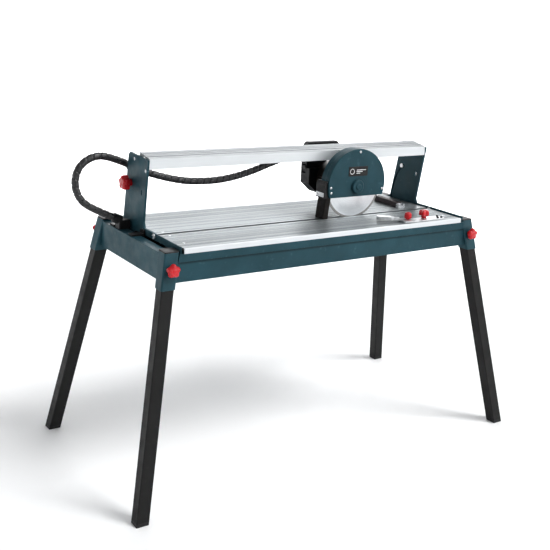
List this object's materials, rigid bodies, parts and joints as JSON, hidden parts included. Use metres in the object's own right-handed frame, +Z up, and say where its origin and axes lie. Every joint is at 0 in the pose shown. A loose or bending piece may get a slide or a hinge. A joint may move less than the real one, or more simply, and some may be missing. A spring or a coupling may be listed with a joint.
{
  "type": "bridge tile cutter",
  "caption": "Bridge tile cutter on four splayed legs, with a sliding, tilting saw head on a rail over a ribbed table.",
  "frame": {"origin": "on the floor, under the middle of the frame", "axes": "+X along the cut to the user's right, +Y to the rear, +Z up"},
  "size_m": [1.5118, 0.7626, 1.021],
  "materials": {
    "teal_paint": "satin teal-grey powder coat",
    "black_paint": "black powder coat",
    "black_plastic": "moulded black plastic",
    "red_plastic": "moulded red plastic",
    "table_aluminium": "extruded, ribbed",
    "beam_aluminium": "extruded, satin anodised",
    "cast_aluminium": "cast, tumbled",
    "zinc_steel": "zinc plated",
    "motor_paint": "black enamel",
    "lamination_steel": "laminated steel and copper",
    "blade_steel": "ground steel, sintered rim",
    "tray_plastic": "dark moulded basin",
    "flap_rubber": "matt rubber",
    "hose_wrap": "spiral-wrapped hose and cable",
    "fence_paint": "dark anodised bar"
  },
  "bodies": {
    "frame": {"front_rail": "teal_paint", "rear_rail": "teal_paint", "end_rails": "teal_paint", "leg_sockets": "teal_paint", "socket_caps": "black_plastic", "leg_front_left": "black_paint", "leg_front_right": "black_paint", "leg_rear_left": "black_paint", "leg_rear_right": "black_paint", "foot_caps": "black_plastic", "table_supports": "zinc_steel", "front_table_panel": "table_aluminium", "rear_table_panel": "table_aluminium", "table_screws": "zinc_steel", "water_tray": "tray_plastic", "water_pump": "black_plastic", "left_end_bracket": "teal_paint", "right_end_bracket": "teal_paint", "bracket_feet": "black_paint", "bracket_bolts": "zinc_steel", "cable_gland": "black_plastic", "loop_hose": "hose_wrap"},
    "bridge": {"left_swing_plate": "teal_paint", "right_swing_plate": "teal_paint", "bridge_beam": "beam_aluminium", "beam_screws": "zinc_steel", "hose_clip": "black_plastic", "hanging_hose": "hose_wrap"},
    "carriage": {"carriage_plate": "black_paint", "carriage_pins": "zinc_steel"},
    "left_roller": {"roller_left": "zinc_steel"},
    "right_roller": {"roller_right": "zinc_steel"},
    "saw_head": {"motor_housing": "motor_paint", "motor_end_cap": "black_plastic", "motor_stator": "lamination_steel", "motor_bearings": "zinc_steel", "switch_box": "black_plastic", "saw_handle": "black_plastic", "guard_cover": "teal_paint", "guard_body": "teal_paint", "guard_screws": "zinc_steel", "splash_flap": "flap_rubber", "flap_holder": "black_plastic"},
    "spindle": {"motor_rotor": "lamination_steel", "blade_flanges": "zinc_steel", "saw_blade": "blade_steel", "arbor_nut": "zinc_steel"},
    "switch_rocker": {"power_switch": "black_plastic"},
    "front_left_knob": {"leg_knob_front_left": "red_plastic"},
    "front_right_knob": {"leg_knob_front_right": "red_plastic"},
    "rear_left_knob": {"leg_knob_rear_left": "red_plastic"},
    "rear_right_knob": {"leg_knob_rear_right": "red_plastic"},
    "left_tilt_knob": {"tilt_knob_left": "red_plastic"},
    "right_tilt_knob": {"tilt_knob_right": "red_plastic"},
    "gauge": {"gauge_base": "cast_aluminium"},
    "gauge_lever": {"gauge_arm": "cast_aluminium"},
    "lever_knob": {"gauge_arm_knob": "red_plastic"},
    "gauge_knob": {"gauge_clamp_knob": "red_plastic"},
    "fence": {"fence_bar": "fence_paint", "fence_clip": "zinc_steel"}
  },
  "joints": [
    {"name": "bridge_tilt", "type": "hinge", "parent": "frame", "child": "bridge", "pos_m": [0, -0.076, 0.781], "axis": [1, 0, 0], "range_deg": [0, 45], "deforming": ["loop_hose", "splash_flap"]},
    {"name": "carriage_slide", "type": "slide", "parent": "bridge", "child": "carriage", "axis": [1, 0, 0], "range_m": [-0.55, 0.236], "deforming": ["hanging_hose"]},
    {"name": "left_roller_spin", "type": "hinge", "parent": "carriage", "child": "left_roller", "pos_m": [0.14, 0.023, 0.994], "axis": [0, 1, 0], "continuous": true},
    {"name": "right_roller_spin", "type": "hinge", "parent": "carriage", "child": "right_roller", "pos_m": [0.24, 0.023, 0.994], "axis": [0, 1, 0], "continuous": true},
    {"name": "head_plunge", "type": "hinge", "parent": "carriage", "child": "saw_head", "pos_m": [0.282, 0.0576, 0.935], "axis": [0, 1, 0], "range_deg": [0, 12]},
    {"name": "blade_spin", "type": "hinge", "parent": "saw_head", "child": "spindle", "pos_m": [0.19, -0.076, 0.892], "axis": [0, 1, 0], "continuous": true},
    {"name": "switch_rock", "type": "hinge", "parent": "saw_head", "child": "switch_rocker", "pos_m": [0.104, 0.095, 0.925], "axis": [0, 1, 0], "range_deg": [0, 22]},
    {"name": "left_tilt_knob_turn", "type": "hinge", "parent": "frame", "child": "left_tilt_knob", "pos_m": [-0.575, 0.092, 0.915], "axis": [-1, 0, 0], "range_deg": [0, 360]},
    {"name": "right_tilt_knob_turn", "type": "hinge", "parent": "frame", "child": "right_tilt_knob", "pos_m": [0.575, 0.092, 0.915], "axis": [1, 0, 0], "range_deg": [0, 360]},
    {"name": "gauge_slide", "type": "slide", "parent": "frame", "child": "gauge", "axis": [1, 0, 0], "range_m": [-0.755, 0.06]},
    {"name": "gauge_lever_swing", "type": "hinge", "parent": "gauge", "child": "gauge_lever", "pos_m": [0.322, -0.224, 0.7925], "axis": [0, 0, 1], "range_deg": [-60, 25]},
    {"name": "lever_knob_turn", "type": "hinge", "parent": "gauge", "child": "lever_knob", "pos_m": [0.322, -0.224, 0.81], "axis": [0, 0, 1], "range_deg": [0, 360]},
    {"name": "gauge_knob_turn", "type": "hinge", "parent": "gauge", "child": "gauge_knob", "pos_m": [0.408, -0.211, 0.8], "axis": [0, 0, 1], "range_deg": [0, 360]},
    {"name": "fence_slide", "type": "slide", "parent": "frame", "child": "fence", "axis": [1, 0, 0], "range_m": [-0.98, 0.084]},
    {"name": "front_left_knob_turn", "type": "hinge", "parent": "frame", "child": "front_left_knob", "pos_m": [-0.594, -0.259, 0.728], "axis": [0, -1, 0], "range_deg": [0, 360]},
    {"name": "front_right_knob_turn", "type": "hinge", "parent": "frame", "child": "front_right_knob", "pos_m": [0.594, -0.259, 0.728], "axis": [0, -1, 0], "range_deg": [0, 360]},
    {"name": "rear_left_knob_turn", "type": "hinge", "parent": "frame", "child": "rear_left_knob", "pos_m": [-0.594, 0.259, 0.728], "axis": [0, 1, 0], "range_deg": [0, 360]},
    {"name": "rear_right_knob_turn", "type": "hinge", "parent": "frame", "child": "rear_right_knob", "pos_m": [0.594, 0.259, 0.728], "axis": [0, 1, 0], "range_deg": [0, 360]}
  ],
  "couplings": [
    {"joint": "left_roller_spin", "follows": "carriage_slide", "rad_per_m": 68.027},
    {"joint": "right_roller_spin", "follows": "carriage_slide", "rad_per_m": 68.027}
  ]
}
